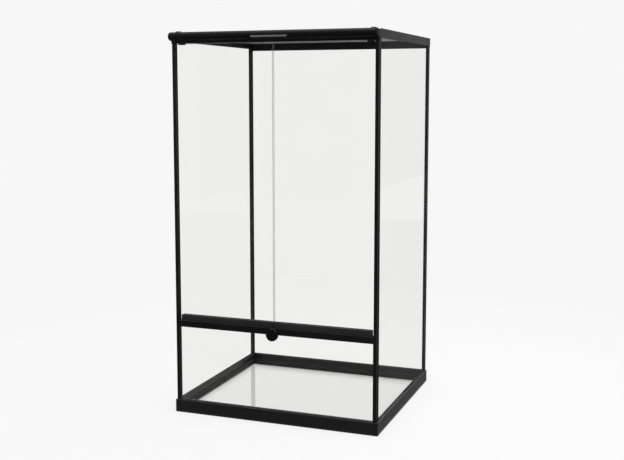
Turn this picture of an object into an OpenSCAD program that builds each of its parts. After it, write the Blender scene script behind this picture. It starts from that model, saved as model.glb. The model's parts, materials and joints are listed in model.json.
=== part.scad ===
// Tall glass enclosure for a small pet: black frame, two front doors over a fixed lower pane,
// a turning latch, a round bar across the top front and a lift-off mesh lid.
// Front is -Y, right is +X. The origin is on the floor under the centre of the overall footprint.

/* [Enclosure] */
// Outside width of the base and top frames
body_w = 500; // [420:10:600]
// Outside depth of the base and top frames
body_d = 450; // [380:10:520]
// Height of the top frame above the floor
body_h = 890; // [760:10:1000]
// Thickness of the wall panes
pane_t = 4; // [3:0.5:4.5]
// Distance from the frame's outer side faces to the side panes
pane_side_inset = 4; // [3:0.5:4.5]
// Distance from the frame's back face to the back pane
pane_back_inset = 3; // [2:0.5:4]
// Distance from the base's front face to the lower front pane
pane_front_inset = 3; // [2:0.5:4]

/* [Base frame] */
// Height of the base trims
base_h = 30; // [26:1:40]
// Width of the front base trim
base_front_w = 15; // [13:0.5:20]
// Width of each side base trim
base_side_w = 11; // [10:0.5:16]
// Width of the back base trim
base_back_w = 10; // [9:0.5:16]
// Width of the flange that carries the floor pane
flange_w = 3; // [2:0.5:10]
// Thickness of that flange
flange_t = 3; // [2:0.5:6]
// Height of that flange above the surface that the enclosure stands on
floor_lift = 6; // [0:0.5:8]
// Thickness of the floor pane
floor_t = 4; // [3:0.5:6]
// Width of the seal bead along the floor pane's edge
seal_w = 4; // [3:0.5:8]
// Height of the seal bead
seal_h = 5; // [2:0.5:8]

/* [Top frame] */
// Height of the top trims
top_h = 25; // [22:1:40]
// How far the front top trim stops below the other top trims
top_front_drop = 2; // [0:0.5:4]
// Width of the front top trim above its ledge
top_front_w = 16; // [14:0.5:24]
// Width of the front ledge under the lid
top_front_ledge = 6; // [4:0.5:12]
// Height of each side top trim
top_side_h = 19; // [17:0.5:25]
// Width of each side top trim
top_side_w = 7.5; // [7:0.5:16]
// Distance from the base's outer side face to the top frame's
top_side_inset = 2.5; // [1:0.25:2.75]
// Width of the back top trim
top_back_w = 10; // [9:0.5:16]
// Thickness of the lip round the lid
lip_t = 3.5; // [2:0.5:6]
// Height of the lip above the lid's ledge
lip_h = 8; // [6.5:0.5:10]

/* [Posts] */
// Setback of the front posts, rail and top trim behind the base's front face
front_inset = 1; // [0:0.5:2]
// Width of each front post
front_post_w = 8; // [6:0.5:14]
// Depth of each front post
front_post_d = 12; // [10:0.5:20]
// Distance from the frame's outer side face to a front post
front_post_inset = 4; // [2:0.5:6]
// Width of each back post
back_post_w = 5; // [5:0.5:8]
// Depth of each back post
back_post_d = 15; // [12:0.5:24]
// Distance from the frame's outer side face to a back post
back_post_inset = 3; // [1:0.5:4]
// Distance from the frame's back face to a back post
back_post_setback = 1; // [0:0.5:2]

/* [Front rail] */
// Height of the rail's lower edge above the floor
rail_z = 208; // [150:1:260]
// Height of the rail
rail_h = 14.5; // [12:0.5:24]
// Depth of the rail
rail_d = 8; // [7.5:0.5:9]
// Depth of the groove that holds the lower pane's top edge
rail_groove = 3; // [2:0.5:6]

/* [Doors] */
// Gap between a door's outer end and its post
door_end_gap = 5; // [4.5:0.5:8]
// Gap between the two doors' keepers
strip_mid_gap = 3; // [3:0.5:12]
// Gap between the two door panes
door_mid_gap = 2.4; // [2:0.2:6]
// Thickness of the door panes
door_t = 4; // [3:0.5:5]
// Gap between a door pane and the top frame
door_top_gap = 1.5; // [1.2:0.1:4]
// Height of a door's bottom strip
strip_h = 13; // [13:0.5:24]
// Depth of a door's bottom strip
strip_d = 12.5; // [12:0.5:14]
// Setback of the strips behind the rail's front face
strip_setback = 3; // [3:0.5:4]
// Distance from a strip's front face to its pane
door_setback = 4; // [3.5:0.5:4]
// How deep a door pane stands in its strip
strip_seat = 4; // [3:0.5:4]
// Distance from a door's outer end to its pivot axis
pivot_in = 6; // [5.5:0.5:9]
// Distance from a strip's front face to its pivot axis
pivot_back = 8.5; // [8:0.5:9]
// Diameter of the pivot pins
pin_d = 4; // [3:0.5:5]
// Depth of a pin in its bore
pin_seat = 8; // [5:0.5:9]
// Width of a top clamp
clamp_w = 15; // [12:1:30]
// Height of a top clamp
clamp_h = 2.5; // [2.5:0.5:8]
// Wall of a top clamp in front of its pane
clamp_wall = 2; // [1.5:0.5:3]
// Wall of a top clamp above its pane
clamp_cover = 1; // [0.6:0.1:1]
// Wall of a top clamp behind its pin
clamp_back = 1; // [1:0.5:4]
// Width of a lower pivot block
block_w = 20; // [16:1:40]
// Height of a lower pivot block
block_h = 13; // [11:0.5:14]
// Wall of a lower pivot block behind its bore
block_wall = 2.5; // [2:0.5:4]

/* [Latch] */
// Diameter of the knob
knob_d = 28; // [22:0.5:28]
// Thickness of the knob
knob_t = 8; // [4:0.5:10]
// Chamfer round the knob's face
knob_edge = 0.8; // [0.4:0.1:1.5]
// Diameter of the latch shaft
shaft_d = 6; // [4:0.5:8]
// Depth of the shaft's seat in the knob
shaft_seat = 3; // [2:0.5:3.5]
// Diameter of the boss round the shaft
boss_d = 20; // [14:1:21]
// Reach of the cam plate from the shaft's axis
cam_r = 21; // [20:0.5:21.5]
// Angle that the cam plate covers
cam_angle = 40; // [30:1:42]
// Diameter of the cam plate's hub
cam_hub_d = 14; // [12:0.5:18]
// Thickness of the cam plate
cam_t = 2.5; // [1.5:0.5:2.5]
// Length of the latch keeper at the inner end of each strip
keeper_l = 19; // [16:1:30]
// Height of the keeper's pocket for the cam plate
pocket_h = 7.4; // [7:0.1:8]
// Width across the corners of the retaining nut
nut_d = 10; // [9:0.5:12]
// Thickness of the retaining nut
nut_t = 3; // [2:0.5:4]

/* [Lid] */
// Width of the lid rails
lid_rail_w = 6; // [5:0.5:12]
// Height of the lid rails
lid_rail_h = 6.7; // [5:0.1:7]
// Thickness of the mesh panel
mesh_t = 1; // [0.6:0.2:2]
// Height of the mesh panel above the lid rails' underside
mesh_rise = 1.9; // [1:0.1:3]
// How deep the mesh panel stands in the lid rails
mesh_seat = 3; // [2:0.5:4]

/* [Front bar] */
// Diameter of the bar
bar_d = 19.5; // [16:0.5:24]
// Wall of the bar
bar_wall = 1.5; // [1:0.5:3]
// Distance of the bar's axis in front of the base's front face
bar_out = 7.25; // [7:0.25:9]
// Distance from the top frame's ends to the bar's ends
bar_inset = 0; // [0:0.2:10]
// Length of the left collar
collar_l = 25; // [16:0.5:40]
// Length of the right cap
cap_l = 7; // [6:0.5:16]
// Rounding of the collar's and cap's outer ends
bar_round = 4; // [1:0.5:6]
// Width of the groove round the collar and cap
ring_w = 1.2; // [0.6:0.2:2]
// Depth of that groove
ring_t = 0.8; // [0.4:0.2:1.4]
// Length of the collar's and cap's spigots in the bar
spigot_l = 12; // [6:1:20]
// Length of the plate on the bar
plate_l = 85; // [40:5:160]
// Height of the plate on the bar
plate_h = 3.7; // [2:0.1:6]
// Depth of the plate's recess in the bar
plate_t = 0.6; // [0.4:0.1:0.9]
// Angle of the plate below the bar's foremost line
plate_angle = 19.5; // [0:0.5:60]
// Width of each raised corner block
corner_w = 10; // [8:1:20]
// Depth of each raised corner block
corner_d = 11; // [8:1:12]
// Height of each raised corner block
corner_h = 4.5; // [3:0.5:10]
// Distance from the frame's outer side face to a corner block
corner_inset = 13; // [4:1:30]
// Distance from the front top trim's front face to a corner block
corner_setback = 2; // [1:0.5:3]

/* [Fits] */
// Depth of the grooves that hold the wall panes
groove_depth = 8; // [4:1:12]
// Clearance of a pane in its groove, each side
seat_clear = 0.2; // [0.1:0.05:0.3]
// Clearance between the floor pane and the trims
floor_clear = 0.3; // [0.1:0.1:0.8]
// Radial clearance of pins and the shaft in their bores
run_clear = 0.05; // [0.02:0.01:0.1]
// Gap between faces that pass each other
slide_gap = 0.3; // [0.2:0.1:0.4]
// Gap between the rail's back face and the cam plate
cam_gap = 0.4; // [0.3:0.1:0.6]
// Clearance round the cam plate in the keepers' pockets
pocket_clear = 0.4; // [0.3:0.1:0.7]
// Gap between the lid and the lip round it
lid_clear = 0.5; // [0.3:0.1:1.5]

/* [Hidden] */
$fn = 64;

half_w = body_w / 2;
front_y = (bar_out + bar_d / 2 - body_d) / 2;
back_y = front_y + body_d;
face_y = front_y + front_inset;
top_z = body_h - top_h;
side_top_z = body_h - top_side_h;
ledge_z = body_h - lip_h;
front_top_z = body_h - top_front_drop;

front_post_x = half_w - front_post_inset;
front_post_inner_x = front_post_x - front_post_w;
front_post_back_y = face_y + front_post_d;
back_post_x = half_w - back_post_inset;
back_post_inner_x = back_post_x - back_post_w;
back_post_back_y = back_y - back_post_setback;
back_post_front_y = back_post_back_y - back_post_d;

top_half_w = half_w - top_side_inset;
top_inner_x = top_half_w - top_side_w;
top_front_back_y = face_y + top_front_w;
top_open_front_y = top_front_back_y + top_front_ledge;
top_open_back_y = back_y - top_back_w;
lip_inner_x = top_half_w - lip_t;
lip_back_y = back_y - lip_t;

base_inner_x = half_w - base_side_w;
base_inner_front_y = front_y + base_front_w;
base_inner_back_y = back_y - base_back_w;
flange_top_z = floor_lift + flange_t;
floor_top_z = flange_top_z + floor_t;

rail_top_z = rail_z + rail_h;
rail_back_y = face_y + rail_d;
lower_pane_y = front_y + pane_front_inset;

strip_y = face_y + strip_setback;
strip_z = rail_top_z + slide_gap;
strip_top_z = strip_z + strip_h;
door_outer_x = front_post_inner_x - door_end_gap;
keeper_inner_x = strip_mid_gap / 2;
keeper_outer_x = keeper_inner_x + keeper_l;
door_y = strip_y + door_setback;
door_z = strip_top_z - strip_seat;
door_top_z = top_z - door_top_gap;
pivot_x = door_outer_x - pivot_in;
pivot_y = strip_y + pivot_back;
bore_r = pin_d / 2 + run_clear;
clamp_z = door_top_z + clamp_cover - clamp_h;

shaft_r = shaft_d / 2;
knob_back_y = face_y - slide_gap;
cam_y = rail_back_y + cam_gap;
cam_back_y = cam_y + cam_t;
pocket_y = cam_y - pocket_clear;
pocket_back_y = cam_back_y + pocket_clear;

lid_z = ledge_z + slide_gap;
lid_x = lip_inner_x - lid_clear;
lid_front_y = top_front_back_y + lid_clear;
lid_back_y = lip_back_y - lid_clear;
mesh_z = lid_z + mesh_rise;
mesh_x = lid_x - lid_rail_w + mesh_seat;
mesh_front_y = lid_front_y + lid_rail_w - mesh_seat;
mesh_back_y = lid_back_y - lid_rail_w + mesh_seat;

bar_r = bar_d / 2;
bar_y = front_y - bar_out;
bar_z = body_h - bar_r;
bar_end_x = top_half_w - bar_inset;
spigot_r = bar_r - bar_wall - run_clear;
corner_y = face_y + corner_setback;

trim_colour = [0.06, 0.06, 0.065];
post_colour = [0.09, 0.09, 0.095];
strip_colour = [0.14, 0.14, 0.14];
seal_colour = [0.03, 0.03, 0.03];
pane_colour = [0.85, 0.93, 0.92, 0.3];
steel_colour = [0.6, 0.6, 0.62];
mesh_colour = [0.45, 0.45, 0.46];

LEFT = -1;
RIGHT = 1;

// ---- Shared shapes ----

// Box between two corners. The two x values may come in either order.
module block(x0, x1, y0, y1, z0, z1) {
    translate([min(x0, x1), y0, z0])
        cube([abs(x1 - x0), y1 - y0, z1 - z0]);
}

// Upright cylinder on a door's pivot axis
module on_pivot(side, r, z0, z1) {
    translate([side * pivot_x, pivot_y, z0])
        cylinder(r = r, h = z1 - z0);
}

// Cylinder on the latch's axis, between two depths
module on_latch(r, y0, y1) {
    translate([0, y1, rail_z])
        rotate([90, 0, 0])
            cylinder(r = r, h = y1 - y0);
}

// Cylinder on the front bar's axis
module on_bar(r, x0, x1) {
    translate([x0, bar_y, bar_z])
        rotate([0, 90, 0])
            cylinder(r = r, h = x1 - x0);
}

// ---- Wall panes, which the frame's grooves repeat with a clearance ----

module side_pane(side, grow) {
    block(side * (half_w - pane_side_inset - pane_t - grow), side * (half_w - pane_side_inset + grow),
        front_post_back_y, back_post_front_y,
        base_h - groove_depth, side_top_z + groove_depth + grow);
}

module back_pane(grow) {
    block(-back_post_inner_x, back_post_inner_x,
        back_y - pane_back_inset - pane_t - grow, back_y - pane_back_inset + grow,
        base_h - groove_depth, top_z + groove_depth + grow);
}

module lower_pane(grow) {
    block(-front_post_inner_x, front_post_inner_x,
        lower_pane_y - grow, lower_pane_y + pane_t + grow,
        base_h - groove_depth, rail_z + rail_groove);
}

module wall_grooves() {
    side_pane(LEFT, seat_clear);
    side_pane(RIGHT, seat_clear);
    back_pane(seat_clear);
    lower_pane(seat_clear);
}

// ---- Base frame ----

module base_front_trim() {
    color(trim_colour)
        difference() {
            union() {
                block(-half_w, half_w, front_y, base_inner_front_y, 0, base_h);
                block(-base_inner_x + flange_w, base_inner_x - flange_w,
                    base_inner_front_y, base_inner_front_y + flange_w, floor_lift, flange_top_z);
            }
            wall_grooves();
        }
}

module base_back_trim() {
    color(trim_colour)
        difference() {
            union() {
                block(-half_w, half_w, base_inner_back_y, back_y, 0, base_h);
                block(-base_inner_x + flange_w, base_inner_x - flange_w,
                    base_inner_back_y - flange_w, base_inner_back_y, floor_lift, flange_top_z);
            }
            wall_grooves();
        }
}

module base_side_trim(side) {
    color(trim_colour)
        difference() {
            union() {
                block(side * base_inner_x, side * half_w,
                    base_inner_front_y, base_inner_back_y, 0, base_h);
                block(side * (base_inner_x - flange_w), side * base_inner_x,
                    base_inner_front_y, base_inner_back_y, floor_lift, flange_top_z);
            }
            wall_grooves();
        }
}

module floor_glass() {
    color(pane_colour)
        block(-base_inner_x + floor_clear, base_inner_x - floor_clear,
            base_inner_front_y + floor_clear, base_inner_back_y - floor_clear, flange_top_z, floor_top_z);
}

module floor_seal() {
    color(seal_colour)
        difference() {
            block(-base_inner_x, base_inner_x, base_inner_front_y, base_inner_back_y,
                floor_top_z, floor_top_z + seal_h);
            block(-base_inner_x + seal_w, base_inner_x - seal_w,
                base_inner_front_y + seal_w, base_inner_back_y - seal_w,
                floor_top_z - seal_h, floor_top_z + 2 * seal_h);
        }
}

// ---- Walls and posts ----

module back_glass() {
    color(pane_colour)
        back_pane(0);
}

module side_glass(side) {
    color(pane_colour)
        side_pane(side, 0);
}

module front_lower_glass() {
    color(pane_colour)
        difference() {
            lower_pane(0);
            on_latch(boss_d / 2 + seat_clear, front_y, rail_back_y);
        }
}

module front_post(side) {
    color(post_colour)
        block(side * front_post_inner_x, side * front_post_x, face_y, front_post_back_y, base_h, top_z);
}

module back_post(side) {
    color(post_colour) {
        block(side * back_post_inner_x, side * back_post_x,
            back_post_front_y, back_post_back_y, base_h, top_z);
        block(side * back_post_inner_x, side * back_post_x,
            back_post_front_y, top_open_back_y, base_h, side_top_z);
    }
}

// ---- Front rail and the doors' lower pivots ----

module front_rail() {
    color(trim_colour)
        difference() {
            union() {
                block(-front_post_inner_x, front_post_inner_x, face_y, rail_back_y, rail_z, rail_top_z);
                on_latch(boss_d / 2, face_y, rail_back_y);
            }
            difference() {
                lower_pane(seat_clear);
                on_latch(boss_d / 2, face_y, rail_back_y);
            }
            on_latch(shaft_r + run_clear, front_y, cam_y);
        }
}

module pivot_block(side) {
    color(trim_colour)
        difference() {
            block(side * (front_post_inner_x - block_w), side * front_post_inner_x,
                rail_back_y, pivot_y + bore_r + block_wall, rail_top_z - block_h, rail_top_z);
            on_pivot(side, bore_r, rail_top_z - pin_seat - slide_gap, strip_z);
        }
}

// ---- Top frame ----

module lid_recess() {
    block(-lip_inner_x, lip_inner_x, top_front_back_y, lip_back_y, ledge_z, body_h + lip_h);
}

module top_front_trim() {
    color(trim_colour)
        difference() {
            union() {
                block(-top_half_w, top_half_w, face_y, top_front_back_y, top_z, front_top_z);
                block(-top_inner_x, top_inner_x, top_front_back_y, top_open_front_y, top_z, ledge_z);
            }
            wall_grooves();
            on_bar(bar_r + run_clear, -bar_end_x - seat_clear, bar_end_x + seat_clear);
            on_pivot(LEFT, bore_r, door_top_z, top_z + pin_seat);
            on_pivot(RIGHT, bore_r, door_top_z, top_z + pin_seat);
        }
}

// Space below a side top trim's line at the end of the back top trim
module top_corner_notch(side) {
    block(side * back_post_x, side * 2 * half_w, top_open_back_y - top_h, back_y + top_h,
        top_z - top_h, side_top_z);
}

module top_back_trim() {
    color(trim_colour)
        difference() {
            block(-top_half_w, top_half_w, top_open_back_y, back_y, top_z, body_h);
            lid_recess();
            wall_grooves();
            top_corner_notch(LEFT);
            top_corner_notch(RIGHT);
        }
}

module top_side_trim(side) {
    color(trim_colour)
        difference() {
            block(side * top_inner_x, side * top_half_w, top_front_back_y, top_open_back_y, side_top_z, body_h);
            lid_recess();
            wall_grooves();
        }
}

// ---- Front bar ----

// The plate's space in the bar, which may stand proud of the bar's surface
module plate_space(proud, h) {
    translate([0, bar_y, bar_z])
        rotate([plate_angle, 0, 0])
            block(-plate_l / 2, plate_l / 2, -bar_r - proud, plate_t - bar_r, -h / 2, h / 2);
}

module front_bar() {
    color(trim_colour)
        difference() {
            on_bar(bar_r, -bar_end_x + collar_l, bar_end_x - cap_l);
            on_bar(bar_r - bar_wall, -bar_end_x, bar_end_x);
            plate_space(plate_t, plate_h);
        }
}

// End piece of the bar: a round body with a groove, a rounded outer end and a spigot.
// It stands on its outer end and points up.
module bar_end(length) {
    rotate_extrude()
        difference() {
            union() {
                translate([0, bar_round])
                    square([bar_r, length - bar_round]);
                square([bar_r - bar_round, length]);
                intersection() {
                    translate([bar_r - bar_round, bar_round])
                        circle(r = bar_round);
                    square([bar_r, bar_round]);
                }
                square([spigot_r, length + spigot_l]);
            }
            translate([bar_r - ring_t, length - 2 * ring_w])
                square([2 * ring_t, ring_w]);
        }
}

module bar_left_collar() {
    color(trim_colour)
        translate([-bar_end_x, bar_y, bar_z])
            rotate([0, 90, 0])
                bar_end(collar_l);
}

module bar_right_cap() {
    color(trim_colour)
        translate([bar_end_x, bar_y, bar_z])
            rotate([0, -90, 0])
                bar_end(cap_l);
}

module bar_plate() {
    color(steel_colour)
        plate_space(0, plate_h - 2 * run_clear);
}

module corner_block(side) {
    color(trim_colour)
        block(side * (half_w - corner_inset - corner_w), side * (half_w - corner_inset),
            corner_y, corner_y + corner_d, front_top_z, front_top_z + corner_h);
}

// ---- Doors ----

module door_pane(side, grow) {
    block(side * door_mid_gap / 2, side * door_outer_x,
        door_y - grow, door_y + door_t + grow, door_z, door_top_z);
}

module door_glass(side) {
    color(pane_colour)
        door_pane(side, 0);
}

module door_strip(side) {
    color(strip_colour)
        difference() {
            block(side * keeper_outer_x, side * door_outer_x,
                strip_y, strip_y + strip_d, strip_z, strip_top_z);
            door_pane(side, seat_clear);
            on_pivot(side, bore_r, rail_top_z, strip_z + pin_seat);
        }
}

// The keeper carries on the strip's outline. The cam plate turns up into the pocket under it.
module keeper(side) {
    color(strip_colour)
        difference() {
            block(side * keeper_inner_x, side * keeper_outer_x,
                strip_y, strip_y + strip_d, strip_z, strip_top_z);
            door_pane(side, seat_clear);
            block(0, side * (keeper_outer_x + keeper_inner_x),
                pocket_y, pocket_back_y, rail_z, strip_z + pocket_h);
        }
}

module top_clamp(side) {
    color(trim_colour)
        difference() {
            block(side * (door_outer_x - clamp_w), side * door_outer_x,
                door_y - clamp_wall, pivot_y + bore_r + clamp_back, clamp_z, door_top_z + clamp_cover);
            door_pane(side, seat_clear);
            on_pivot(side, bore_r, door_top_z, top_z);
        }
}

module top_pin(side) {
    color(steel_colour)
        on_pivot(side, pin_d / 2, door_top_z, top_z + pin_seat - slide_gap);
}

module bottom_pin(side) {
    color(steel_colour)
        on_pivot(side, pin_d / 2, rail_top_z - pin_seat, strip_z + pin_seat);
}

// ---- Latch ----

module latch_knob() {
    color(trim_colour)
        translate([0, knob_back_y, rail_z])
            rotate([90, 0, 0])
                difference() {
                    rotate_extrude()
                        polygon([
                            [0, 0],
                            [knob_d / 2, 0],
                            [knob_d / 2, knob_t - knob_edge],
                            [knob_d / 2 - knob_edge, knob_t],
                            [0, knob_t]
                        ]);
                    translate([0, 0, -shaft_seat])
                        cylinder(r = shaft_r + run_clear, h = 2 * shaft_seat);
                }
}

module latch_shaft() {
    color(steel_colour)
        on_latch(shaft_r, knob_back_y - shaft_seat, cam_back_y + nut_t);
}

// The cam plate is flat, with its reach to the right at rest and upwards when it locks the doors
module latch_cam() {
    color(steel_colour)
        difference() {
            translate([0, cam_back_y, rail_z])
                rotate([90, 0, 0])
                    linear_extrude(cam_t) {
                        circle(d = cam_hub_d);
                        intersection() {
                            circle(r = cam_r);
                            polygon([
                                [0, 0],
                                [2 * cam_r, 0],
                                [2 * cam_r * cos(cam_angle), 2 * cam_r * sin(cam_angle)]
                            ]);
                        }
                    }
            on_latch(shaft_r + run_clear, rail_back_y, cam_back_y + cam_t);
        }
}

module latch_nut() {
    color(steel_colour)
        difference() {
            translate([0, cam_back_y + nut_t, rail_z])
                rotate([90, 0, 0])
                    cylinder(d = nut_d, h = nut_t, $fn = 6);
            on_latch(shaft_r + run_clear, cam_y, cam_back_y + 2 * nut_t);
        }
}

// ---- Lid ----

module mesh_panel(grow) {
    block(-mesh_x, mesh_x, mesh_front_y, mesh_back_y, mesh_z - grow, mesh_z + mesh_t + grow);
}

module lid_cross_rail(y0) {
    color(trim_colour)
        difference() {
            block(-lid_x, lid_x, y0, y0 + lid_rail_w, lid_z, lid_z + lid_rail_h);
            mesh_panel(run_clear);
        }
}

module lid_side_rail(side) {
    color(trim_colour)
        difference() {
            block(side * (lid_x - lid_rail_w), side * lid_x,
                lid_front_y + lid_rail_w, lid_back_y - lid_rail_w, lid_z, lid_z + lid_rail_h);
            mesh_panel(run_clear);
        }
}

module lid_mesh() {
    color(mesh_colour)
        mesh_panel(0);
}

base_front_trim();
base_back_trim();
base_side_trim(LEFT);  // base_left_trim
base_side_trim(RIGHT);  // base_right_trim
floor_glass();
floor_seal();
back_glass();
side_glass(LEFT);  // left_glass
side_glass(RIGHT);  // right_glass
front_lower_glass();
front_post(LEFT);  // front_left_post
front_post(RIGHT);  // front_right_post
back_post(LEFT);  // back_left_post
back_post(RIGHT);  // back_right_post
front_rail();
pivot_block(LEFT);  // left_pivot_block
pivot_block(RIGHT);  // right_pivot_block
top_front_trim();
top_back_trim();
top_side_trim(LEFT);  // top_left_trim
top_side_trim(RIGHT);  // top_right_trim
front_bar();
bar_left_collar();
bar_right_cap();
bar_plate();
corner_block(LEFT);  // left_corner_block
corner_block(RIGHT);  // right_corner_block
door_glass(LEFT);  // left_door_glass
door_strip(LEFT);  // left_door_strip
keeper(LEFT);  // left_keeper
top_clamp(LEFT);  // left_top_clamp
top_pin(LEFT);  // left_top_pin
bottom_pin(LEFT);  // left_bottom_pin
door_glass(RIGHT);  // right_door_glass
door_strip(RIGHT);  // right_door_strip
keeper(RIGHT);  // right_keeper
top_clamp(RIGHT);  // right_top_clamp
top_pin(RIGHT);  // right_top_pin
bottom_pin(RIGHT);  // right_bottom_pin
latch_knob();
latch_shaft();
latch_cam();
latch_nut();
lid_cross_rail(lid_front_y);  // lid_front_rail
lid_cross_rail(lid_back_y - lid_rail_w);  // lid_back_rail
lid_side_rail(LEFT);  // lid_left_rail
lid_side_rail(RIGHT);  // lid_right_rail
lid_mesh();
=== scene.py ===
"""Looks of a tall glass pet enclosure: black frame, two front doors, a latch, a bar and a mesh lid.

The packed CAD frame gives every size and place. Each straight CAD piece is copied and gets rounded
edges and a finish, the round pieces are turned from their outlines, and the screen and the glazing
beads are Geometry Nodes.
"""

import json
import math

import bmesh
import bpy
from bpy.props import FloatProperty, FloatVectorProperty, IntProperty, PointerProperty
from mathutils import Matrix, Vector


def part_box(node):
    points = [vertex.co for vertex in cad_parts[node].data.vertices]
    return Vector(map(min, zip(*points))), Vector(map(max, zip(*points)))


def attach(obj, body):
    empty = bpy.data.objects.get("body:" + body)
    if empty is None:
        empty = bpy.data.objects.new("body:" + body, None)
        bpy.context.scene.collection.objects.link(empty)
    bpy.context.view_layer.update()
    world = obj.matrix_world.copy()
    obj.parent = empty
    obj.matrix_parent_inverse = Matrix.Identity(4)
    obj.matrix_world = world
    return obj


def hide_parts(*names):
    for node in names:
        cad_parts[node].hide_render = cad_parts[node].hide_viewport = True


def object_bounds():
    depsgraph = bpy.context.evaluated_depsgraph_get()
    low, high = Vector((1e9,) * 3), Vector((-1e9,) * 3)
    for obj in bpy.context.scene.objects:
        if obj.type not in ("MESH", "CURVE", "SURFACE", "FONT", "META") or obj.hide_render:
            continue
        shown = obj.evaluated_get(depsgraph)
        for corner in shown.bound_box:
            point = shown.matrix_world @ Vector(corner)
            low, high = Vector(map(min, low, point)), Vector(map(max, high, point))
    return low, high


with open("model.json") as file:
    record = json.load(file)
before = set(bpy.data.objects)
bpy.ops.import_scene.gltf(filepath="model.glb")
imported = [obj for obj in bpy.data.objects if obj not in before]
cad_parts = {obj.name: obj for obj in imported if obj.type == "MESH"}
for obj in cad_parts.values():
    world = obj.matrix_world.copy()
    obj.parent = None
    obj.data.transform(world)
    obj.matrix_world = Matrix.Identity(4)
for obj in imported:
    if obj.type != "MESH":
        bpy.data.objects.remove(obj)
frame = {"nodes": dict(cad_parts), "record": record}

bl_info = {
    "name": "Glass pet enclosure",
    "version": (1, 0, 0),
    "blender": (4, 5, 0),
    "location": "3D View > Sidebar > Enclosure",
    "description": "Builds the looks of a tall glass pet enclosure round its CAD frame",
    "category": "Object",
}

NODE_BODY = {
    node: body
    for body, nodes in frame["record"]["behaviour"]["bodies"].items()
    for node in nodes
}
NODE_SLOT = {part["node"]: part["material_slot"] for part in frame["record"]["subparts"]}
CAD_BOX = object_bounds()

# The material made for each finish. All but floor_glass and glass_edge are material slots too.
FINISH_NAMES = {
    "black_metal": "black_powder_coat",
    "base_plastic": "black_base_moulding",
    "strip_plastic": "dark_grey_strip",
    "black_plastic": "black_small_moulding",
    "clear_glass": "clear_float_glass",
    "floor_glass": "floor_glass_with_painted_shade",
    "glass_edge": "ground_glass_edge",
    "seal": "black_sealant",
    "steel": "brushed_steel",
    "plate_metal": "satin_plate",
    "mesh_metal": "screen_wire",
}

# Lengths are in metres and angles in radians.
MERGE_DISTANCE = 1e-6
TOUCH_DISTANCE = 0.00005
SAME_PLACE = 0.0001
FLAT_ANGLE = math.radians(1.0)
CORNER_ANGLE = math.radians(30.0)
QUARTER_TURN = math.pi / 2
# The corners of a square, in order round it.
ROUND_SQUARE = ((-1, -1), (1, -1), (1, 1), (-1, 1))
WHITE = (1.0, 1.0, 1.0, 1.0)


# --- Settings ---


def number_setting(name, description, default, **more):
    """A plain number that a user can change."""
    return FloatProperty(name=name, description=description, default=default, **more)


def length_setting(name, description, default):
    """A length in metres that a user can change."""
    return number_setting(name, description, default, unit="LENGTH")


def share_setting(name, description, default, least=0.0, most=1.0):
    """A share of one that a user can change."""
    return number_setting(name, description, default, min=least, max=most)


def count_setting(name, description, default, least, most):
    """A whole number that a user can change."""
    return IntProperty(
        name=name, description=description, default=default, min=least, max=most
    )


def colour_setting(name, description, default):
    """A linear colour that a user can change."""
    return FloatVectorProperty(
        name=name, description=description, default=default, subtype="COLOR"
    )


class EdgeSettings(bpy.types.PropertyGroup):
    """Rounding of the straight pieces."""

    metal_radius: length_setting("Metal edge", "Rounding of the coated metal lengths", 0.001)
    plastic_radius: length_setting("Plastic edge", "Rounding of the base moulding", 0.0014)
    strip_radius: length_setting(
        "Strip edge", "Rounding of the door strips and the small pieces", 0.0007
    )
    joint_share: share_setting(
        "Joint edge", "Rounding left where two pieces butt, as a share of the full rounding", 0.12
    )
    keeper_gap: length_setting("Keeper gap", "Gap left between the two doors' keepers", 0.001)
    steps: count_setting("Edge steps", "Steps across each rounded edge", 3, least=1, most=6)
    glass_arris: length_setting("Glass arris", "Width of the ground arris on the panes", 0.0004)


class ScreenSettings(bpy.types.PropertyGroup):
    """The wire screen in the lid."""

    pitch: length_setting("Pitch", "Distance from wire to wire", 0.0022)
    wire: length_setting("Wire", "Diameter of the wire", 0.0005)
    sides: count_setting("Sides", "Flats round each wire", 6, least=4, most=12)


class BeadSettings(bpy.types.PropertyGroup):
    """Sealant beads round the panes and the floor."""

    glazing_radius: length_setting("Glazing bead", "Radius of the beads round the panes", 0.0015)
    upright_share: share_setting(
        "Bead upright", "Share of the floor bead's height that stands upright", 0.4,
        least=0.1, most=0.9,
    )
    fillet_steps: count_setting(
        "Fillet steps", "Steps across the floor bead's hollow face", 6, least=2, most=16
    )


class TurnedSettings(bpy.types.PropertyGroup):
    """Bar, collar, cap and knob."""

    segments: count_setting("Segments", "Steps round a turned piece", 96, least=24, most=192)
    end_round: length_setting("End rounding", "Rounding of the bar's outer ends", 0.0032)
    joint_width: length_setting(
        "Joint width", "Width of the groove beside each bar end piece", 0.002
    )
    joint_depth: length_setting("Joint depth", "Depth of that groove", 0.003)
    knob_edge: length_setting("Knob edge", "Rounding round the knob's face", 0.0009)


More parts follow.
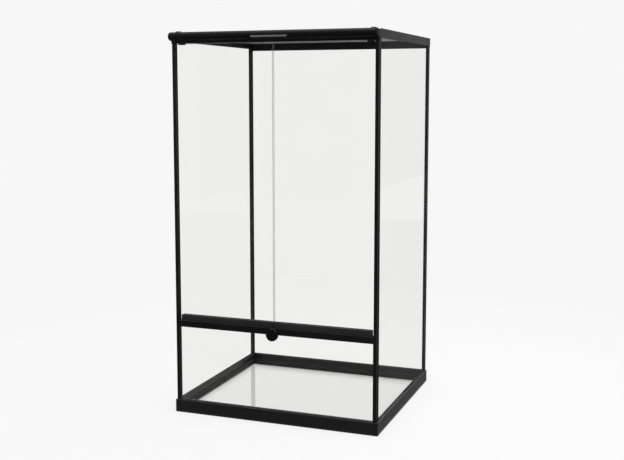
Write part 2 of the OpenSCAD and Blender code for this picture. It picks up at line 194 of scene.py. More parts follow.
class FinishSettings(bpy.types.PropertyGroup):
    """Colours of the finishes, as linear values."""

    metal: colour_setting(
        "Coated metal", "Powder coat on the metal lengths", (0.0058, 0.0058, 0.0061)
    )
    base: colour_setting("Base plastic", "Moulded base frame", (0.0052, 0.0052, 0.0055))
    strip: colour_setting("Strip plastic", "Door strips and keepers", (0.014, 0.014, 0.014))
    cap: colour_setting("Small plastic", "Bar, knob, clamps and blocks", (0.0036, 0.0036, 0.0038))
    glass: colour_setting(
        "Glass", "What each face of a wall or door pane lets through", (0.984, 0.985, 0.981)
    )
    # The floor pane lets through less than the wall panes: partly the glass's tint, partly painted
    # shade of the ground under the enclosure.
    floor_glass: colour_setting(
        "Floor glass", "What each face of the floor pane lets through", (0.952, 0.954, 0.947)
    )
    wall_shine: share_setting(
        "Wall shine", "Share of plain glass's mirror image that the wall and door panes show", 0.12
    )
    floor_shine: share_setting(
        "Floor shine", "Share of plain glass's mirror image that the floor pane shows", 1.0
    )
    glass_edge: colour_setting("Glass edge", "Ground edges of the panes", (0.10, 0.11, 0.106))
    edge_cover: share_setting(
        "Edge cover", "How much a ground edge hides what is behind it", 0.55, least=0.05
    )
    sealant: colour_setting("Sealant", "Black sealant beads", (0.006, 0.006, 0.006))
    steel: colour_setting("Steel", "Pins, shaft, cam plate and nut", (0.50, 0.50, 0.52))
    plate: colour_setting("Bar plate", "Thin plate on the bar", (0.17, 0.17, 0.173))
    screen: colour_setting("Screen wire", "Wire of the lid's screen", (0.38, 0.38, 0.385))


class StageSettings(bpy.types.PropertyGroup):
    """Floor, light and camera."""

    floor_half: length_setting("Floor", "Half the width of the floor", 14.0)
    floor_colour: colour_setting("Floor colour", "Pale floor", (0.93, 0.93, 0.93))
    floor_clean: share_setting(
        "Clean floor", "How far the floor near the object shows as plain background", 0.8
    )
    background: share_setting("Background", "Level of the plain background", 0.93)
    ambient: number_setting("Ambient", "Level of the soft light from all round", 0.62, min=0.0)
    top_power: number_setting("Top light", "Power of the overhead softbox in watts", 70.0)
    side_power: number_setting("Side light", "Power of the right softbox in watts", 45.0)
    lens: number_setting("Lens", "Focal length in millimetres", 56.7, min=10.0)
    camera_place: FloatVectorProperty(
        name="Camera place", description="Where the camera stands",
        default=(0.843, -2.231, 0.757), subtype="TRANSLATION",
    )
    camera_pitch: number_setting(
        "Camera pitch", "How far the camera looks down, in degrees", 6.6
    )
    camera_yaw: number_setting(
        "Camera yaw", "How far the camera looks to the left, in degrees", 20.36
    )
    camera_shift: number_setting(
        "Camera shift", "Vertical lens shift, as a share of the frame", -0.04
    )


class EnclosureSettings(bpy.types.PropertyGroup):
    """All the settings of the enclosure."""

    edges: PointerProperty(type=EdgeSettings)
    screen: PointerProperty(type=ScreenSettings)
    beads: PointerProperty(type=BeadSettings)
    turned: PointerProperty(type=TurnedSettings)
    finish: PointerProperty(type=FinishSettings)
    stage: PointerProperty(type=StageSettings)


def settings():
    """The scene's enclosure settings."""
    return bpy.context.scene.pet_enclosure


# --- Shader nodes ---


def set_inputs(node, values):
    """Sets a node's sockets from {label: value}."""
    for label, value in values.items():
        node.inputs[label].default_value = value


def feed(tree, socket, value):
    """Links a socket to another one, or sets it to a plain value."""
    if isinstance(value, bpy.types.NodeSocket):
        tree.links.new(value, socket)
    else:
        socket.default_value = value


def math_node(tree, operation, *values, clamp=False):
    """A Math node fed by sockets or numbers. Gives its output socket."""
    node = tree.nodes.new("ShaderNodeMath")
    node.operation = operation
    node.use_clamp = clamp
    for socket, value in zip(node.inputs, values):
        feed(tree, socket, value)
    return node.outputs[0]


def times(tree, first, second, clamp=False):
    """The product of two sockets or numbers."""
    return math_node(tree, "MULTIPLY", first, second, clamp=clamp)


def plus(tree, first, second, clamp=False):
    """The sum of two sockets or numbers."""
    return math_node(tree, "ADD", first, second, clamp=clamp)


def noise_node(tree, vector, scale, detail, roughness=0.5):
    """A Noise Texture node on a coordinate socket. Gives its factor socket."""
    node = tree.nodes.new("ShaderNodeTexNoise")
    set_inputs(node, {"Detail": detail, "Roughness": roughness})
    feed(tree, node.inputs["Scale"], scale)
    tree.links.new(vector, node.inputs["Vector"])
    return node.outputs["Fac"]


def ramp_node(tree, value, low, high):
    """A Map Range node from low..high to 0..1, clamped. Gives its result socket."""
    node = tree.nodes.new("ShaderNodeMapRange")
    set_inputs(node, {"From Min": low, "From Max": high})
    tree.links.new(value, node.inputs["Value"])
    return node.outputs["Result"]


def mix_colour(tree, factor, first, second):
    """A Mix Color node. Colours are sockets or RGB values. Gives its result socket."""
    node = tree.nodes.new("ShaderNodeMix")
    node.data_type = "RGBA"
    tree.links.new(factor, node.inputs["Factor"])
    first_colour, second_colour, result = node.inputs[6], node.inputs[7], node.outputs[2]
    for socket, colour in ((first_colour, first), (second_colour, second)):
        plain = not isinstance(colour, bpy.types.NodeSocket)
        feed(tree, socket, (*colour, 1.0) if plain else colour)
    return result


def mix_shaders(tree, share, first, second, output="Material Output"):
    """Puts out the first shader at a share of 0 and the second at a share of 1."""
    mix = tree.nodes.new("ShaderNodeMixShader")
    tree.links.new(share, mix.inputs[0])
    tree.links.new(first.outputs[0], mix.inputs[1])
    tree.links.new(second.outputs[0], mix.inputs[2])
    tree.links.new(mix.outputs[0], tree.nodes[output].inputs["Surface"])


def add_bump(tree, shader, height, strength, distance):
    """Gives a shader the fine relief of a height socket."""
    bump = tree.nodes.new("ShaderNodeBump")
    set_inputs(bump, {"Strength": strength, "Distance": distance})
    tree.links.new(height, bump.inputs["Height"])
    tree.links.new(bump.outputs["Normal"], shader.inputs["Normal"])


def seen_ray(tree):
    """1 for what is looked at directly, in a reflection or through glass, 0 for what lights."""
    path = tree.nodes.new("ShaderNodeLightPath")
    looks = math_node(tree, "MAXIMUM", path.outputs["Is Camera Ray"], path.outputs["Is Glossy Ray"])
    return math_node(tree, "MAXIMUM", looks, path.outputs["Is Transmission Ray"])


# --- Shader groups: masks and heights that several finishes share ---


def new_shader_group(name, inputs, outputs):
    """An empty shader group with float inputs {name: default} and float outputs."""
    group = bpy.data.node_groups.new(name, "ShaderNodeTree")
    for label, default in inputs.items():
        socket = group.interface.new_socket(label, in_out="INPUT", socket_type="NodeSocketFloat")
        socket.default_value = default
    for label in outputs:
        group.interface.new_socket(label, in_out="OUTPUT", socket_type="NodeSocketFloat")
    return group, group.nodes.new("NodeGroupInput"), group.nodes.new("NodeGroupOutput")


def coat_grain_group():
    """Fine orange peel of a coat or a moulding, with a slow mottle over it."""
    peel_scale, grain_share, peel_share = 0.22, 0.6, 0.4
    group, given, out = new_shader_group(
        "Coat grain", {"Grain Scale": 900.0, "Mottle Scale": 14.0}, ("Height", "Mottle")
    )
    place = group.nodes.new("ShaderNodeTexCoord").outputs["Object"]
    scale = given.outputs["Grain Scale"]
    grain = noise_node(group, place, scale, detail=3.0)
    peel = noise_node(group, place, times(group, scale, peel_scale), detail=2.0)
    height = plus(group, times(group, grain, grain_share), times(group, peel, peel_share))
    cloud = noise_node(group, place, given.outputs["Mottle Scale"], detail=4.0)
    group.links.new(height, out.inputs["Height"])
    group.links.new(ramp_node(group, cloud, low=0.3, high=0.7), out.inputs["Mottle"])
    return group


def edge_wear_and_highlight_group():
    """Mask of the rounded edges, broken up by noise: partly scuffing, partly a painted highlight
    that lines the edges.
    """
    bevel_samples, gain = 4, 5.0
    group, given, out = new_shader_group(
        "Edge wear", {"Radius": 0.0012, "Break Scale": 60.0}, ("Mask",)
    )
    bevel = group.nodes.new("ShaderNodeBevel")
    bevel.samples = bevel_samples
    group.links.new(given.outputs["Radius"], bevel.inputs["Radius"])
    geometry = group.nodes.new("ShaderNodeNewGeometry")
    dot = group.nodes.new("ShaderNodeVectorMath")
    dot.operation = "DOT_PRODUCT"
    group.links.new(bevel.outputs["Normal"], dot.inputs[0])
    group.links.new(geometry.outputs["Normal"], dot.inputs[1])
    turned = math_node(group, "SUBTRACT", 1.0, dot.outputs["Value"], clamp=True)
    place = group.nodes.new("ShaderNodeTexCoord").outputs["Object"]
    breaks = noise_node(group, place, given.outputs["Break Scale"], detail=5.0, roughness=0.6)
    broken = ramp_node(group, breaks, low=0.42, high=0.62)
    mask = times(group, times(group, turned, gain, clamp=True), broken)
    group.links.new(mask, out.inputs["Mask"])
    return group


def dust_group():
    """Mask of the thin dust that settles on faces that look up."""
    group, given, out = new_shader_group("Settled dust", {"Spread": 1.0, "Scale": 90.0}, ("Mask",))
    coordinates = group.nodes.new("ShaderNodeTexCoord")
    split = group.nodes.new("ShaderNodeSeparateXYZ")
    group.links.new(coordinates.outputs["Normal"], split.inputs[0])
    upward = ramp_node(group, split.outputs["Z"], low=0.45, high=0.95)
    cloud = noise_node(
        group, coordinates.outputs["Object"], given.outputs["Scale"], detail=6.0, roughness=0.65
    )
    patch = ramp_node(group, cloud, low=0.2, high=0.8)
    spread = times(group, times(group, upward, patch), given.outputs["Spread"])
    group.links.new(spread, out.inputs["Mask"])
    return group


def smudge_group():
    """Slow cloudy variation of a wiped surface."""
    streak_scale = 9.0
    group, given, out = new_shader_group("Wiped surface", {"Scale": 7.0}, ("Mask",))
    place = group.nodes.new("ShaderNodeTexCoord").outputs["Object"]
    scale = given.outputs["Scale"]
    cloud = noise_node(group, place, scale, detail=5.0, roughness=0.55)
    streak = noise_node(group, place, times(group, scale, streak_scale), detail=2.0)
    clouded = ramp_node(group, cloud, low=0.45, high=0.75)
    streaked = ramp_node(group, streak, low=0.3, high=0.8)
    group.links.new(times(group, clouded, streaked), out.inputs["Mask"])
    return group


def add_group(tree, group, **values):
    """Places a shader group in a material with its own values. Gives the node."""
    node = tree.nodes.new("ShaderNodeGroup")
    node.node_tree = group
    for label, value in values.items():
        node.inputs[label.replace("_", " ").title()].default_value = value
    return node


# --- Finishes ---


def new_finish(name):
    """An empty material with a Principled shader. Gives the material, its tree and the shader."""
    material = bpy.data.materials.new(name)
    material.use_nodes = True
    tree = material.node_tree
    return material, tree, tree.nodes["Principled BSDF"]


def finish_named(finish):
    """The material made for a finish."""
    return bpy.data.materials[FINISH_NAMES[finish]]


def scaled(colour, factor):
    """A colour with each channel times factor."""
    return tuple(channel * factor for channel in colour)


def mottled(tree, grain, colour, dark, light):
    """A colour that the slow mottle takes from dark to light times its level."""
    return mix_colour(tree, grain.outputs["Mottle"], scaled(colour, dark), scaled(colour, light))


def coated_finish(
    finish, groups, colour, roughness, specular, grain_scale, grain_depth, wear_and_highlight, dust
):
    """Black coat or moulding: orange peel, slow mottle, lighter edges that are partly scuffing and
    partly a painted highlight, and a little settled dust.
    """
    worn_and_highlight_level, dust_colour = 9.0, (0.11, 0.105, 0.10)
    mottle_roughness, dust_roughness = 0.07, 0.4
    _, tree, shader = new_finish(FINISH_NAMES[finish])
    grain = add_group(tree, groups["grain"], grain_scale=grain_scale, mottle_scale=11.0)
    rubbed_and_highlit = add_group(tree, groups["wear_and_highlight"], radius=0.0011, break_scale=70.0)
    settled = add_group(tree, groups["dust"], spread=dust, scale=80.0)
    coat = mottled(tree, grain, colour, dark=0.85, light=1.25)
    # Lighter edges: partly scuffing, partly a painted highlight along the rounded edges.
    worn_and_highlit = mix_colour(
        tree, times(tree, rubbed_and_highlit.outputs["Mask"], wear_and_highlight), coat, scaled(colour, worn_and_highlight_level)
    )
    dusty = mix_colour(tree, settled.outputs["Mask"], worn_and_highlit, dust_colour)
    tree.links.new(dusty, shader.inputs["Base Color"])
    rough = plus(
        tree, times(tree, grain.outputs["Mottle"], mottle_roughness),
        roughness - mottle_roughness / 2,
    )
    rough = plus(tree, rough, times(tree, settled.outputs["Mask"], dust_roughness), clamp=True)
    tree.links.new(rough, shader.inputs["Roughness"])
    add_bump(tree, shader, grain.outputs["Height"], strength=0.35, distance=grain_depth)
    set_inputs(shader, {"Specular IOR Level": specular})


def glass_finish(finish, groups, tint, shine):
    """Clear float glass with faint wiping marks.

    shine is the share of plain glass's mirror image that shows.
    """
    wiped_tint, wiped_roughness = 0.994, 0.06
    face_on, grazing_power = 0.04, 5.0
    _, tree, shader = new_finish(FINISH_NAMES[finish])
    tree.nodes.remove(shader)
    wiped = add_group(tree, groups["smudge"], scale=6.0)
    clear = tree.nodes.new("ShaderNodeBsdfTransparent")
    through = mix_colour(tree, wiped.outputs["Mask"], tint, scaled(tint, wiped_tint))
    tree.links.new(through, clear.inputs["Color"])
    mirror = tree.nodes.new("ShaderNodeBsdfGlossy")
    mirror.inputs["Color"].default_value = WHITE
    tree.links.new(
        times(tree, wiped.outputs["Mask"], wiped_roughness), mirror.inputs["Roughness"]
    )
    facing = tree.nodes.new("ShaderNodeLayerWeight")
    facing.inputs["Blend"].default_value = 0.5
    grazing = math_node(tree, "POWER", facing.outputs["Facing"], grazing_power)
    share = plus(tree, times(tree, grazing, (1.0 - face_on) * shine), face_on * shine)
    mix_shaders(tree, share, clear, mirror)


def grained_finish(
    finish, groups, colour, spread, grain_scale, mottle_scale, strength, distance, values
):
    """Mottled colour and a fine grain: the panes' ground edges and the sealant."""
    _, tree, shader = new_finish(FINISH_NAMES[finish])
    grain = add_group(tree, groups["grain"], grain_scale=grain_scale, mottle_scale=mottle_scale)
    tree.links.new(mottled(tree, grain, colour, *spread), shader.inputs["Base Color"])
    set_inputs(shader, values)
    add_bump(tree, shader, grain.outputs["Height"], strength, distance)


def steel_finish(finish, groups, colour, roughness, metallic=1.0):
    """Brushed metal: fine lines along X over a slow mottle."""
    line_roughness = 0.14
    _, tree, shader = new_finish(FINISH_NAMES[finish])
    coordinates = tree.nodes.new("ShaderNodeTexCoord")
    mapping = tree.nodes.new("ShaderNodeMapping")
    mapping.inputs["Scale"].default_value = (40.0, 1500.0, 1500.0)
    tree.links.new(coordinates.outputs["Object"], mapping.inputs["Vector"])
    lines = noise_node(tree, mapping.outputs["Vector"], scale=1.0, detail=2.0)
    grain = add_group(tree, groups["grain"], grain_scale=600.0, mottle_scale=40.0)
    brushed = mottled(tree, grain, colour, dark=0.88, light=1.08)
    tree.links.new(brushed, shader.inputs["Base Color"])
    rough = plus(tree, times(tree, lines, line_roughness), roughness - line_roughness / 2)
    tree.links.new(rough, shader.inputs["Roughness"])
    set_inputs(shader, {"Metallic": metallic})
    add_bump(tree, shader, lines, strength=0.2, distance=0.00003)


def make_finishes(finish):
    """Builds every finish once."""
    groups = {
        "grain": coat_grain_group(),
        "wear_and_highlight": edge_wear_and_highlight_group(),
        "dust": dust_group(),
        "smudge": smudge_group(),
    }
    coated_finish(
        "black_metal", groups, finish.metal, roughness=0.42, specular=0.16,
        grain_scale=1100.0, grain_depth=0.00006, wear_and_highlight=0.7, dust=0.7,
    )
    coated_finish(
        "base_plastic", groups, finish.base, roughness=0.4, specular=0.42,
        grain_scale=800.0, grain_depth=0.00008, wear_and_highlight=0.6, dust=0.7,
    )
    coated_finish(
        "strip_plastic", groups, finish.strip, roughness=0.5, specular=0.4,
        grain_scale=1300.0, grain_depth=0.00006, wear_and_highlight=0.25, dust=0.03,
    )
    coated_finish(
        "black_plastic", groups, finish.cap, roughness=0.5, specular=0.14,
        grain_scale=1500.0, grain_depth=0.00004, wear_and_highlight=0.25, dust=0.3,
    )
    glass_finish("clear_glass", groups, finish.glass, finish.wall_shine)
    # The floor pane's darker tint is partly painted shade of the ground under the enclosure.
    glass_finish("floor_glass", groups, finish.floor_glass, finish.floor_shine)
    grained_finish(
        "glass_edge", groups, finish.glass_edge, spread=(0.9, 1.1), grain_scale=1500.0,
        mottle_scale=30.0, strength=0.3, distance=0.00005,
        values={"Alpha": finish.edge_cover, "Roughness": 0.42},
    )
    grained_finish(
        "seal", groups, finish.sealant, spread=(0.8, 1.5), grain_scale=120.0,
        mottle_scale=25.0, strength=0.5, distance=0.0002,
        values={"Roughness": 0.45, "Specular IOR Level": 0.35},
    )
    steel_finish("steel", groups, finish.steel, roughness=0.32)
    steel_finish("plate_metal", groups, finish.plate, roughness=0.4, metallic=0.1)
    steel_finish("mesh_metal", groups, finish.screen, roughness=0.5, metallic=0.5)


# --- Shapes ---


def new_piece(name, mesh):
    """Links a mesh as an object at the origin."""
    piece = bpy.data.objects.new(name, mesh)
    bpy.context.scene.collection.objects.link(piece)
    return piece


def dress(piece, *finishes):
    """Gives a piece its finishes, one for each material index."""
    piece.data.materials.clear()
    for finish in finishes:
        piece.data.materials.append(finish_named(finish))


def hand_over(piece, node):
    """Lets a piece stand for a CAD node: puts it on the node's body and hides the node."""
    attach(piece, NODE_BODY[node])
    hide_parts(node)


def closed_mesh(name, shape):
    """Ends the making of a closed mesh, with its faces outwards. Gives the mesh."""
    bmesh.ops.recalc_face_normals(shape, faces=shape.faces)
    mesh = bpy.data.meshes.new(name)
    shape.to_mesh(mesh)
    shape.free()
    return mesh


def bake_modifiers(piece):
    """Turns a piece with live modifiers into its plain final mesh."""
    graph = bpy.context.evaluated_depsgraph_get()
    final = bpy.data.meshes.new_from_object(piece.evaluated_get(graph))
    piece.modifiers.clear()
    old = piece.data
    piece.data = final
    final.name = piece.name
    bpy.data.meshes.remove(old)


def weigh_normals(piece):
    """Lets the normals follow the large faces, so that they look flat. Gives the modifier."""
    weighted = piece.modifiers.new("Weighted normals", "WEIGHTED_NORMAL")
    weighted.keep_sharp = False
    return weighted


def joint_edge(edge, boxes):
    """True if an edge lies in or on a neighbour's box, so that it is part of a joint."""
    return any(
        all(
            low[axis] - TOUCH_DISTANCE <= vert.co[axis] <= high[axis] + TOUCH_DISTANCE
            for vert in edge.verts for axis in range(3)
        )
        for low, high in boxes
    )


def rounded_copy(node, radius, steps, joint_share=1.0, neighbours=(), smooth=True, reach=0.0):
    """A copy of a CAD node's mesh as clean faces with rounded edges, nearly sharp at its joints.

    The end next to the middle plane comes closer to it by reach.
    """
    mesh = frame["nodes"][node].data.copy()
    mesh.name = node + "_made"
    shape = bmesh.new()
    shape.from_mesh(mesh)
    bmesh.ops.remove_doubles(shape, verts=shape.verts, dist=MERGE_DISTANCE)
    bmesh.ops.dissolve_limit(
        shape, angle_limit=FLAT_ANGLE, verts=shape.verts, edges=shape.edges
    )
    if reach:
        middle_end = min(abs(vert.co.x) for vert in shape.verts)
        for vert in shape.verts:
            if abs(vert.co.x) < middle_end + SAME_PLACE:
                vert.co.x -= math.copysign(reach, vert.co.x)
    weight = shape.edges.layers.float.new("bevel_weight_edge")
    boxes = [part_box(other) for other in neighbours]
    for edge in shape.edges:
        if len(edge.link_faces) == 2 and edge.calc_face_angle() > CORNER_ANGLE:
            edge[weight] = joint_share if joint_edge(edge, boxes) else 1.0
    for face in shape.faces:
        face.smooth = smooth
    shape.to_mesh(mesh)
    shape.free()
    piece = new_piece(mesh.name, mesh)
    bevel = piece.modifiers.new("Rounded edges", "BEVEL")
    bevel.limit_method = "WEIGHT"
    bevel.width = radius
    bevel.segments = steps
    if smooth:
        weigh_normals(piece).weight = 100
    bake_modifiers(piece)
    return piece


def turned_piece(node, outline, start, axis):
    """A closed turned piece that stands for a CAD node.

    outline is (distance along the axis, radius) from one end to the other.
    """
    segments = settings().turned.segments
    shape = bmesh.new()
    turn = Vector(axis).normalized().to_track_quat("Z", "Y").to_matrix()
    rings = []
    for along, radius in outline:
        ring = []
        for step in range(segments):
            angle = 2 * math.pi * step / segments
            local = Vector((radius * math.cos(angle), radius * math.sin(angle), along))
            ring.append(shape.verts.new(Vector(start) + turn @ local))
        rings.append(ring)
    for lower, upper in zip(rings, rings[1:]):
        for step in range(segments):
            following = (step + 1) % segments
            shape.faces.new((lower[step], lower[following], upper[following], upper[step]))
    shape.faces.new(list(reversed(rings[0])))
    shape.faces.new(rings[-1])
    for face in shape.faces:
        face.smooth = True
    piece = new_piece(node + "_made", closed_mesh(node + "_made", shape))
    weigh_normals(piece)
    bake_modifiers(piece)
    dress(piece, "black_plastic")
    hand_over(piece, node)


def quarter_round(along, radius, size, sign, steps=6):
    """Outline points of a rounded corner, from the outer radius to size further along."""
    points = []
    for step in range(steps + 1):
        angle = QUARTER_TURN * step / steps
        points.append(
            (along + sign * size * math.sin(angle), radius - size + size * math.cos(angle))
        )
    return points


# --- Geometry Nodes ---


def new_geometry_group(name, inputs):
    """An empty Geometry Nodes group with a geometry output.

    inputs is {name: (socket type, default)}. Every group gets a Place and a Finish too.
    """
    group = bpy.data.node_groups.new(name, "GeometryNodeTree")
    group.interface.new_socket("Geometry", in_out="OUTPUT", socket_type="NodeSocketGeometry")
    for label, (kind, default) in inputs.items():
        socket = group.interface.new_socket(label, in_out="INPUT", socket_type=kind)
        socket.default_value = default
    for label, kind in (("Place", "NodeSocketVector"), ("Finish", "NodeSocketMaterial")):
        group.interface.new_socket(label, in_out="INPUT", socket_type=kind)
    return group, group.nodes.new("NodeGroupInput"), group.nodes.new("NodeGroupOutput")


def geometry_node(group, kind, **inputs):
    """Adds a node and sets or links its inputs by name. Gives its first output socket."""
    node = group.nodes.new(kind)
    for label, value in inputs.items():
        feed(group, node.inputs[label.replace("_", " ")], value)
    return node.outputs[0]


def put_out(group, given, out, geometry, **turn):
    """Moves the geometry to the group's Place, makes it real and gives it the Finish."""
    placed = geometry_node(
        group, "GeometryNodeTransform",
        Geometry=geometry, Translation=given.outputs["Place"], **turn,
    )
    real = geometry_node(group, "GeometryNodeRealizeInstances", Geometry=placed)
    dressed = geometry_node(
        group, "GeometryNodeSetMaterial", Geometry=real, Material=given.outputs["Finish"]
    )
    group.links.new(dressed, out.inputs[0])


def wire_row(group, given, along, across, height):
    """One layer of straight parallel wires along an axis, set out evenly across it.

    along and across are an axis letter and the length that the layer covers on it.
    """
    (way, length), (side, breadth) = along, across
    pitch = given.outputs["Pitch"]

    def vector(**parts):
        return geometry_node(group, "ShaderNodeCombineXYZ", **parts)

    line = geometry_node(
        group, "GeometryNodeCurvePrimitiveLine",
        Start=vector(**{way: times(group, length, -0.5)}),
        End=vector(**{way: times(group, length, 0.5)}),
    )
    profile = geometry_node(
        group, "GeometryNodeCurvePrimitiveCircle", Resolution=given.outputs["Sides"],
        Radius=times(group, given.outputs["Wire"], 0.5),
    )
    tube = geometry_node(
        group, "GeometryNodeCurveToMesh", Curve=line, Profile_Curve=profile, Fill_Caps=True
    )
    spaces = math_node(group, "FLOOR", math_node(group, "DIVIDE", breadth, pitch))
    points = geometry_node(
        group, "GeometryNodeMeshLine", Count=plus(group, spaces, 1.0),
        Start_Location=vector(**{side: times(group, breadth, -0.5), "Z": height}),
        Offset=vector(**{side: pitch}),
    )
    return geometry_node(group, "GeometryNodeInstanceOnPoints", Points=points, Instance=tube)


def screen_group():
    """Square wire screen: two layers of wires that touch, set out from one corner."""
    group, given, out = new_geometry_group("Wire screen", {
        "Width": ("NodeSocketFloat", 0.48),
        "Depth": ("NodeSocketFloat", 0.42),
        "Pitch": ("NodeSocketFloat", 0.0022),
        "Wire": ("NodeSocketFloat", 0.0005),
        "Sides": ("NodeSocketInt", 6),
    })
    width, depth = ("X", given.outputs["Width"]), ("Y", given.outputs["Depth"])
    join = group.nodes.new("GeometryNodeJoinGeometry")
    for along, across, layer in ((depth, width, 0.5), (width, depth, -0.5)):
        height = times(group, given.outputs["Wire"], layer)
        group.links.new(wire_row(group, given, along, across, height), join.inputs[0])
    put_out(group, given, out, join.outputs[0])
    return group


def bead_group():
    """Round sealant bead along an upright rectangle, such as the edge of a pane's opening."""
    bead_flats = 10
    group, given, out = new_geometry_group("Glazing bead", {
        "Width": ("NodeSocketFloat", 0.4),
        "Height": ("NodeSocketFloat", 0.8),
        "Radius": ("NodeSocketFloat", 0.001),
        "Turn": ("NodeSocketVector", (0.0, 0.0, 0.0)),
    })
    path = geometry_node(
        group, "GeometryNodeCurvePrimitiveQuadrilateral",
        Width=given.outputs["Width"], Height=given.outputs["Height"],
    )
    profile = geometry_node(
        group, "GeometryNodeCurvePrimitiveCircle",
        Resolution=bead_flats, Radius=given.outputs["Radius"],
    )
    bead = geometry_node(group, "GeometryNodeCurveToMesh", Curve=path, Profile_Curve=profile)
    smooth = geometry_node(group, "GeometryNodeSetShadeSmooth", Geometry=bead)
    put_out(group, given, out, smooth, Rotation=given.outputs["Turn"])
    return group


def grown_piece(name, group, finish, **inputs):
    """Runs a Geometry Nodes group with the given inputs and keeps its result as a plain mesh."""
    inputs["Finish"] = finish_named(finish)
    piece = new_piece(name, bpy.data.meshes.new(name))
    modifier = piece.modifiers.new("Grown", "NODES")
    modifier.node_group = group
    for item in group.interface.items_tree:
        if item.item_type == "SOCKET" and item.in_out == "INPUT" and item.name in inputs:
            modifier[item.identifier] = inputs[item.name]
    bake_modifiers(piece)
    return piece


# --- Operators ---


class ENCLOSURE_OT_finishes(bpy.types.Operator):
    """Make the finishes that all pieces share"""

    bl_idname = "pet_enclosure.finishes"
    bl_label = "Make finishes"

    def execute(self, context):
        make_finishes(settings().finish)
        return {"FINISHED"}


class ENCLOSURE_OT_frame(bpy.types.Operator):
    """Round the edges of the frame's metal and plastic lengths and give them their finish"""

    bl_idname = "pet_enclosure.frame"
    bl_label = "Make frame"

    def execute(self, context):
        edges = settings().edges
        straight = {
            "black_metal": edges.metal_radius,
            "base_plastic": edges.plastic_radius,
            "strip_plastic": edges.strip_radius,
            "black_plastic": edges.strip_radius,
        }
        turned = {"latch_knob", "bar_left_collar", "bar_right_cap", "front_bar"}
        keeper_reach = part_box("right_keeper")[0].x - edges.keeper_gap / 2
        for node, slot in NODE_SLOT.items():
            if slot not in straight or node in turned:
                continue
            neighbours = [
                other for other, kind in NODE_SLOT.items()
                if other != node and kind in straight and NODE_BODY[other] == NODE_BODY[node]
            ]
            reach = keeper_reach if node.endswith("_keeper") else 0.0
            piece = rounded_copy(
                node, straight[slot], edges.steps, edges.joint_share, neighbours, reach=reach
            )
            dress(piece, slot)
            hand_over(piece, node)
        return {"FINISHED"}


class ENCLOSURE_OT_glass(bpy.types.Operator):
    """Make the panes, with clear faces and ground edges"""

    bl_idname = "pet_enclosure.glass"
    bl_label = "Make glass"

    def execute(self, context):
        clear_index, edge_index = 0, 1
        face_on, sideways = 0.99, 0.1
        for node, slot in NODE_SLOT.items():
            if slot != "clear_glass":
                continue
            low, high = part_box(node)
            size = high - low
            thin = min(range(3), key=lambda axis: size[axis])
            piece = rounded_copy(node, settings().edges.glass_arris, steps=1, smooth=False)
            dress(piece, "floor_glass" if node == "floor_glass" else "clear_glass", "glass_edge")
            # A door's outer edge stands beside its post, so it stays clear.
            outer_side = {"left_door": -1.0, "right_door": 1.0}.get(NODE_BODY[node], 0.0)
            for polygon in piece.data.polygons:
                broad = abs(polygon.normal[thin]) > face_on
                outer = polygon.normal.x * outer_side > sideways
                polygon.material_index = clear_index if broad or outer else edge_index
            hand_over(piece, node)
        return {"FINISHED"}


class ENCLOSURE_OT_screen(bpy.types.Operator):
    """Make the lid's wire screen"""

    bl_idname = "pet_enclosure.screen"
    bl_label = "Make screen"

    def execute(self, context):
        screen = settings().screen
        low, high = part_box("lid_mesh")
        piece = grown_piece(
            "lid_screen", screen_group(), "mesh_metal",
            Width=high.x - low.x, Depth=high.y - low.y, Place=(low + high) / 2,
            Pitch=screen.pitch, Wire=screen.wire, Sides=screen.sides,
        )
        hand_over(piece, "lid_mesh")
        return {"FINISHED"}


